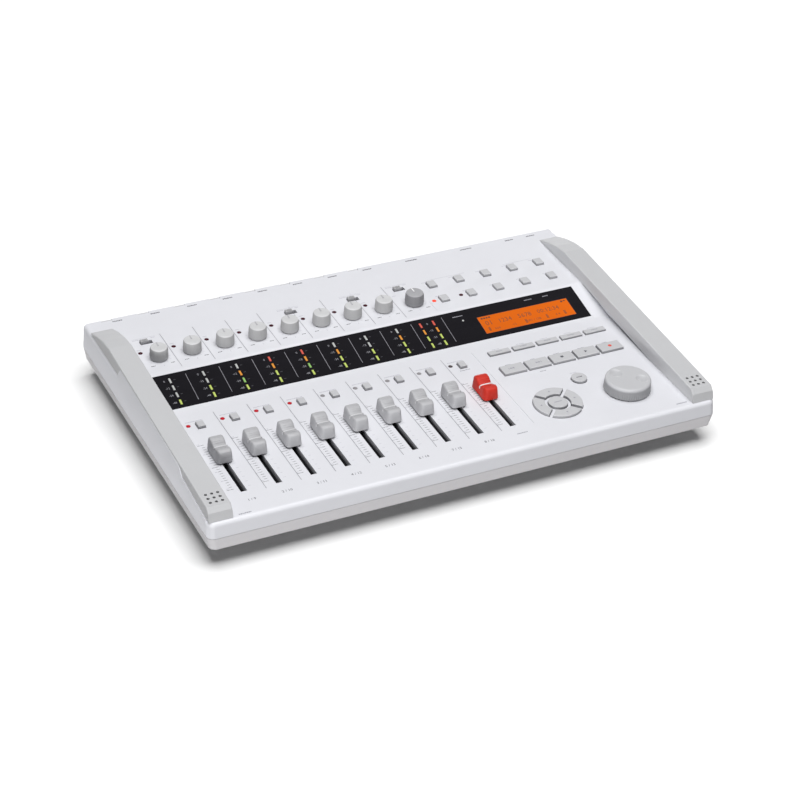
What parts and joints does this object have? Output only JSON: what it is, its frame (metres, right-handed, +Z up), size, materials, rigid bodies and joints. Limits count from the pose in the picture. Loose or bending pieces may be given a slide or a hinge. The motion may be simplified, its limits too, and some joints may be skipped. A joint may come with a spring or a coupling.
{
  "type": "multitrack recorder",
  "caption": "Flat desktop multitrack recorder: stepped white panel with channel faders, level knobs, meter window, orange display, keys and jog dial between grey side rails.",
  "frame": {"origin": "centre of the footprint, on the table under the rubber feet", "axes": "+X to the right, +Y to the rear with the sockets, +Z up"},
  "size_m": [0.376, 0.2372, 0.0522],
  "materials": {
    "panel_white": "fine satin, cool white",
    "lower_white": "fine satin, cool white",
    "rail_grey": "satin light grey",
    "window_black": "glossy smoked black",
    "display_orange": "backlit orange display",
    "meter_lamps": "small diffused segments",
    "panel_lamps": "red diffused lamps",
    "board_green": "circuit board lacquer",
    "control_dark": "dark moulded control bodies",
    "knob_grey": "satin light grey",
    "knob_dark_grey": "satin mid grey",
    "cap_grey": "satin light grey",
    "cap_red": "satin red",
    "key_grey": "satin light grey",
    "dial_grey": "satin light grey",
    "switch_dark": "satin dark grey",
    "jack_black": "satin black",
    "socket_metal": "plain plated sheet",
    "foot_rubber": "matt",
    "screw_steel": "dark plated",
    "spring_steel": "bright plated"
  },
  "bodies": {
    "case": {"top_case": "panel_white", "bottom_case": "lower_white", "rear_panel": "lower_white", "left_rail": "rail_grey", "right_rail": "rail_grey", "meter_window": "window_black", "display_module": "display_orange", "meter_leds": "meter_lamps", "indicator_leds": "panel_lamps", "circuit_boards": "board_green", "control_bodies": "control_dark", "switch_bodies": "control_dark", "input_jacks": "jack_black", "line_jacks": "jack_black", "power_inlet": "jack_black", "side_sockets": "socket_metal", "mic_capsules": "socket_metal", "rubber_feet": "foot_rubber", "case_screws": "screw_steel", "battery_contacts": "spring_steel"},
    "gain_knob_1": {"gain_knob_1": "knob_grey"},
    "gain_knob_2": {"gain_knob_2": "knob_grey"},
    "gain_knob_3": {"gain_knob_3": "knob_grey"},
    "gain_knob_4": {"gain_knob_4": "knob_grey"},
    "gain_knob_5": {"gain_knob_5": "knob_grey"},
    "gain_knob_6": {"gain_knob_6": "knob_grey"},
    "gain_knob_7": {"gain_knob_7": "knob_grey"},
    "gain_knob_8": {"gain_knob_8": "knob_grey"},
    "monitor_knob": {"monitor_knob": "knob_dark_grey"},
    "track_fader_1": {"track_fader_1": "cap_grey"},
    "track_fader_2": {"track_fader_2": "cap_grey"},
    "track_fader_3": {"track_fader_3": "cap_grey"},
    "track_fader_4": {"track_fader_4": "cap_grey"},
    "track_fader_5": {"track_fader_5": "cap_grey"},
    "track_fader_6": {"track_fader_6": "cap_grey"},
    "track_fader_7": {"track_fader_7": "cap_grey"},
    "track_fader_8": {"track_fader_8": "cap_grey"},
    "master_fader": {"master_fader": "cap_red"},
    "jog_dial": {"jog_dial": "dial_grey"},
    "rewind_key": {"rewind_key": "key_grey"},
    "forward_key": {"forward_key": "key_grey"},
    "stop_key": {"stop_key": "key_grey"},
    "play_key": {"play_key": "key_grey"},
    "record_key": {"record_key": "key_grey"},
    "exit_key": {"exit_key": "key_grey"},
    "enter_key": {"enter_key": "key_grey"},
    "cursor_up_key": {"cursor_up_key": "key_grey"},
    "cursor_down_key": {"cursor_down_key": "key_grey"},
    "cursor_left_key": {"cursor_left_key": "key_grey"},
    "cursor_right_key": {"cursor_right_key": "key_grey"},
    "track_keys": {"track_keys": "key_grey"},
    "function_keys_rear": {"function_keys_rear": "key_grey"},
    "function_keys_front": {"function_keys_front": "key_grey"},
    "soft_keys": {"soft_keys": "key_grey"},
    "guitar_input_switch": {"guitar_input_switch": "switch_dark"},
    "phantom_switch": {"phantom_switch": "switch_dark"},
    "built_in_mic_switch": {"built_in_mic_switch": "switch_dark"},
    "monitor_switch": {"monitor_switch": "switch_dark"},
    "power_switch": {"power_switch": "switch_dark"},
    "battery_door": {"battery_door": "lower_white"}
  },
  "joints": [
    {"name": "gain_knob_1_turn", "type": "hinge", "parent": "case", "child": "gain_knob_1", "pos_m": [-0.1532, 0.06, 0.046], "axis": [0, 0, -1], "range_deg": [-150, 150]},
    {"name": "gain_knob_2_turn", "type": "hinge", "parent": "case", "child": "gain_knob_2", "pos_m": [-0.1288, 0.06, 0.046], "axis": [0, 0, -1], "range_deg": [-150, 150]},
    {"name": "gain_knob_3_turn", "type": "hinge", "parent": "case", "child": "gain_knob_3", "pos_m": [-0.1044, 0.06, 0.046], "axis": [0, 0, -1], "range_deg": [-150, 150]},
    {"name": "gain_knob_4_turn", "type": "hinge", "parent": "case", "child": "gain_knob_4", "pos_m": [-0.08, 0.06, 0.046], "axis": [0, 0, -1], "range_deg": [-150, 150]},
    {"name": "gain_knob_5_turn", "type": "hinge", "parent": "case", "child": "gain_knob_5", "pos_m": [-0.0556, 0.06, 0.046], "axis": [0, 0, -1], "range_deg": [-150, 150]},
    {"name": "gain_knob_6_turn", "type": "hinge", "parent": "case", "child": "gain_knob_6", "pos_m": [-0.0312, 0.06, 0.046], "axis": [0, 0, -1], "range_deg": [-150, 150]},
    {"name": "gain_knob_7_turn", "type": "hinge", "parent": "case", "child": "gain_knob_7", "pos_m": [-0.0068, 0.06, 0.046], "axis": [0, 0, -1], "range_deg": [-150, 150]},
    {"name": "gain_knob_8_turn", "type": "hinge", "parent": "case", "child": "gain_knob_8", "pos_m": [0.0176, 0.06, 0.046], "axis": [0, 0, -1], "range_deg": [-150, 150]},
    {"name": "monitor_knob_turn", "type": "hinge", "parent": "case", "child": "monitor_knob", "pos_m": [0.042, 0.06, 0.046], "axis": [0, 0, -1], "range_deg": [-150, 150]},
    {"name": "track_fader_1_travel", "type": "slide", "parent": "case", "child": "track_fader_1", "axis": [0, 1, 0], "range_m": [-0.0355, 0.0095]},
    {"name": "track_fader_2_travel", "type": "slide", "parent": "case", "child": "track_fader_2", "axis": [0, 1, 0], "range_m": [-0.0355, 0.0095]},
    {"name": "track_fader_3_travel", "type": "slide", "parent": "case", "child": "track_fader_3", "axis": [0, 1, 0], "range_m": [-0.0355, 0.0095]},
    {"name": "track_fader_4_travel", "type": "slide", "parent": "case", "child": "track_fader_4", "axis": [0, 1, 0], "range_m": [-0.0355, 0.0095]},
    {"name": "track_fader_5_travel", "type": "slide", "parent": "case", "child": "track_fader_5", "axis": [0, 1, 0], "range_m": [-0.0355, 0.0095]},
    {"name": "track_fader_6_travel", "type": "slide", "parent": "case", "child": "track_fader_6", "axis": [0, 1, 0], "range_m": [-0.0355, 0.0095]},
    {"name": "track_fader_7_travel", "type": "slide", "parent": "case", "child": "track_fader_7", "axis": [0, 1, 0], "range_m": [-0.0355, 0.0095]},
    {"name": "track_fader_8_travel", "type": "slide", "parent": "case", "child": "track_fader_8", "axis": [0, 1, 0], "range_m": [-0.0355, 0.0095]},
    {"name": "master_fader_travel", "type": "slide", "parent": "case", "child": "master_fader", "axis": [0, 1, 0], "range_m": [-0.0355, 0.0095]},
    {"name": "jog_dial_turn", "type": "hinge", "parent": "case", "child": "jog_dial", "pos_m": [0.1368, -0.082, 0.038], "axis": [0, 0, -1], "continuous": true},
    {"name": "rewind_key_travel", "type": "slide", "parent": "case", "child": "rewind_key", "axis": [0, 0, -1], "range_m": [0, 0.0006], "stiffness_N_per_m": 600, "springref_m": -0.0006},
    {"name": "forward_key_travel", "type": "slide", "parent": "case", "child": "forward_key", "axis": [0, 0, -1], "range_m": [0, 0.0006], "stiffness_N_per_m": 600, "springref_m": -0.0006},
    {"name": "stop_key_travel", "type": "slide", "parent": "case", "child": "stop_key", "axis": [0, 0, -1], "range_m": [0, 0.0006], "stiffness_N_per_m": 600, "springref_m": -0.0006},
    {"name": "play_key_travel", "type": "slide", "parent": "case", "child": "play_key", "axis": [0, 0, -1], "range_m": [0, 0.0006], "stiffness_N_per_m": 600, "springref_m": -0.0006},
    {"name": "record_key_travel", "type": "slide", "parent": "case", "child": "record_key", "axis": [0, 0, -1], "range_m": [0, 0.0006], "stiffness_N_per_m": 600, "springref_m": -0.0006},
    {"name": "exit_key_travel", "type": "slide", "parent": "case", "child": "exit_key", "axis": [0, 0, -1], "range_m": [0, 0.0006], "stiffness_N_per_m": 600, "springref_m": -0.0006},
    {"name": "enter_key_travel", "type": "slide", "parent": "case", "child": "enter_key", "axis": [0, 0, -1], "range_m": [0, 0.0006], "stiffness_N_per_m": 600, "springref_m": -0.0006},
    {"name": "cursor_up_key_travel", "type": "slide", "parent": "case", "child": "cursor_up_key", "axis": [0, 0, -1], "range_m": [0, 0.0006], "stiffness_N_per_m": 600, "springref_m": -0.0006},
    {"name": "cursor_down_key_travel", "type": "slide", "parent": "case", "child": "cursor_down_key", "axis": [0, 0, -1], "range_m": [0, 0.0006], "stiffness_N_per_m": 600, "springref_m": -0.0006},
    {"name": "cursor_left_key_travel", "type": "slide", "parent": "case", "child": "cursor_left_key", "axis": [0, 0, -1], "range_m": [0, 0.0006], "stiffness_N_per_m": 600, "springref_m": -0.0006},
    {"name": "cursor_right_key_travel", "type": "slide", "parent": "case", "child": "cursor_right_key", "axis": [0, 0, -1], "range_m": [0, 0.0006], "stiffness_N_per_m": 600, "springref_m": -0.0006},
    {"name": "track_keys_travel", "type": "slide", "parent": "case", "child": "track_keys", "axis": [0, 0, -1], "range_m": [0, 0.0006], "stiffness_N_per_m": 1200, "springref_m": -0.0006},
    {"name": "function_keys_rear_travel", "type": "slide", "parent": "case", "child": "function_keys_rear", "axis": [0, 0, -1], "range_m": [0, 0.0006], "stiffness_N_per_m": 1200, "springref_m": -0.0006},
    {"name": "function_keys_front_travel", "type": "slide", "parent": "case", "child": "function_keys_front", "axis": [0, 0, -1], "range_m": [0, 0.0006], "stiffness_N_per_m": 1200, "springref_m": -0.0006},
    {"name": "soft_keys_travel", "type": "slide", "parent": "case", "child": "soft_keys", "axis": [0, 0, -1], "range_m": [0, 0.0006], "stiffness_N_per_m": 1200, "springref_m": -0.0006},
    {"name": "guitar_input_switch_travel", "type": "slide", "parent": "case", "child": "guitar_input_switch", "axis": [1, 0, 0], "range_m": [0, 0.003]},
    {"name": "phantom_switch_travel", "type": "slide", "parent": "case", "child": "phantom_switch", "axis": [1, 0, 0], "range_m": [0, 0.003]},
    {"name": "built_in_mic_switch_travel", "type": "slide", "parent": "case", "child": "built_in_mic_switch", "axis": [1, 0, 0], "range_m": [0, 0.003]},
    {"name": "monitor_switch_travel", "type": "slide", "parent": "case", "child": "monitor_switch", "axis": [1, 0, 0], "range_m": [0, 0.003]},
    {"name": "power_switch_travel", "type": "slide", "parent": "case", "child": "power_switch", "axis": [1, 0, 0], "range_m": [0, 0.004]},
    {"name": "battery_door_travel", "type": "slide", "parent": "case", "child": "battery_door", "axis": [0, 0, -1], "range_m": [0, 0.012]}
  ]
}
